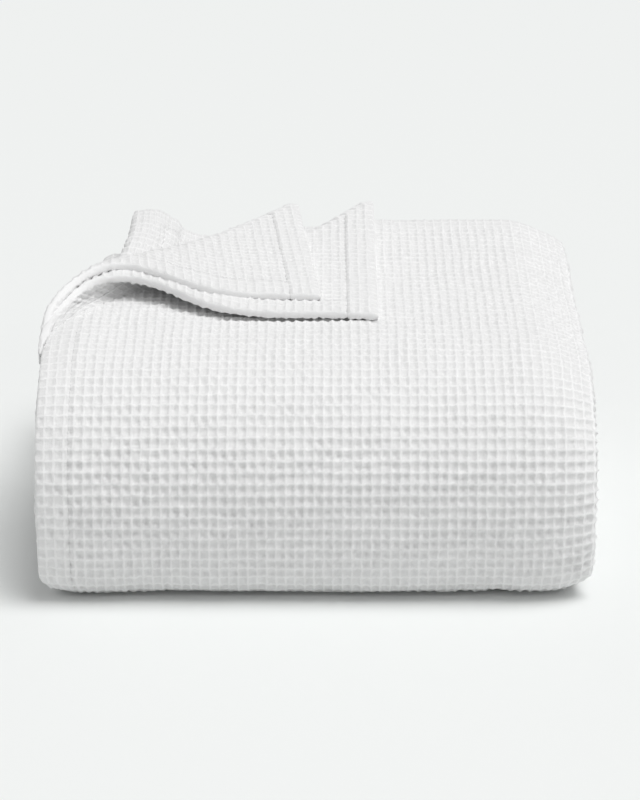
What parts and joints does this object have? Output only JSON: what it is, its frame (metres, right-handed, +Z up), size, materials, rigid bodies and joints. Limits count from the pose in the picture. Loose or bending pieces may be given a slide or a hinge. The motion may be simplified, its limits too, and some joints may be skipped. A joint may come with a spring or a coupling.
{
  "type": "folded throw blanket",
  "caption": "White waffle-weave cotton throw folded four plies wide and rolled into a thick rectangular stack, with two corners turned over at the back left.",
  "frame": {"origin": "middle of the underside, on the surface that the blanket lies on", "axes": "+Z up, +X across the width to the right, the big rounded fold faces -Y, the end hems lie on top at +Y"},
  "size_m": [0.38, 0.336, 0.1782],
  "materials": {
    "cloth": "white cotton waffle weave, matt, slightly fuzzy yarn",
    "hem": "the same waffle cloth turned twice and stitched flat",
    "thread": "white cotton sewing thread in lockstitch"
  },
  "bodies": {
    "stack": {"fourth_end_hem": "hem", "fourth_end_stitching": "thread", "fourth_ply": "cloth", "inner_right_fold": "cloth", "inner_wrap": "cloth", "left_fold": "cloth", "middle_leaf": "cloth", "outer_end_hem": "hem", "outer_end_stitching": "thread", "outer_ply": "cloth", "outer_side_hem": "hem", "outer_side_stitching": "thread", "right_fold": "cloth", "second_end_hem": "hem", "second_end_stitching": "thread", "second_ply": "cloth", "second_side_hem": "hem", "second_side_stitching": "thread", "third_end_hem": "hem", "third_end_stitching": "thread", "third_ply": "cloth"},
    "lower_flap": {"lower_flap_cloth": "cloth", "lower_flap_end_hem": "hem", "lower_flap_end_stitching": "thread", "lower_flap_roll": "cloth", "lower_flap_side_hem": "hem", "lower_flap_side_stitching": "thread"},
    "upper_flap": {"upper_flap_cloth": "cloth", "upper_flap_end_hem": "hem", "upper_flap_end_stitching": "thread", "upper_flap_roll": "cloth", "upper_flap_side_hem": "hem", "upper_flap_side_stitching": "thread"},
    "lifted_corner": {"corner_left_fold": "cloth", "fourth_corner_cloth": "cloth", "fourth_corner_end_hem": "hem", "fourth_corner_end_stitching": "thread", "third_corner_cloth": "cloth", "third_corner_end_hem": "hem", "third_corner_end_stitching": "thread"}
  },
  "joints": [
    {"name": "upper_flap_turn", "type": "hinge", "parent": "stack", "child": "upper_flap", "pos_m": [-0.104, 0.06, 0.1646], "axis": [-0.6229, -0.7823, 0], "range_deg": [0, 130]},
    {"name": "lower_flap_turn", "type": "hinge", "parent": "stack", "child": "lower_flap", "pos_m": [-0.0735, 0.039, 0.16445], "axis": [-0.6702, -0.7421, 0], "range_deg": [0, 130]},
    {"name": "corner_lift", "type": "hinge", "parent": "stack", "child": "lifted_corner", "pos_m": [-0.14, 0.114, 0.1507], "axis": [0.6794, 0.7338, 0], "range_deg": [0, 75]}
  ],
  "couplings": [
    {"joint": "lower_flap_turn", "follows": "upper_flap_turn", "ratio": 1}
  ]
}
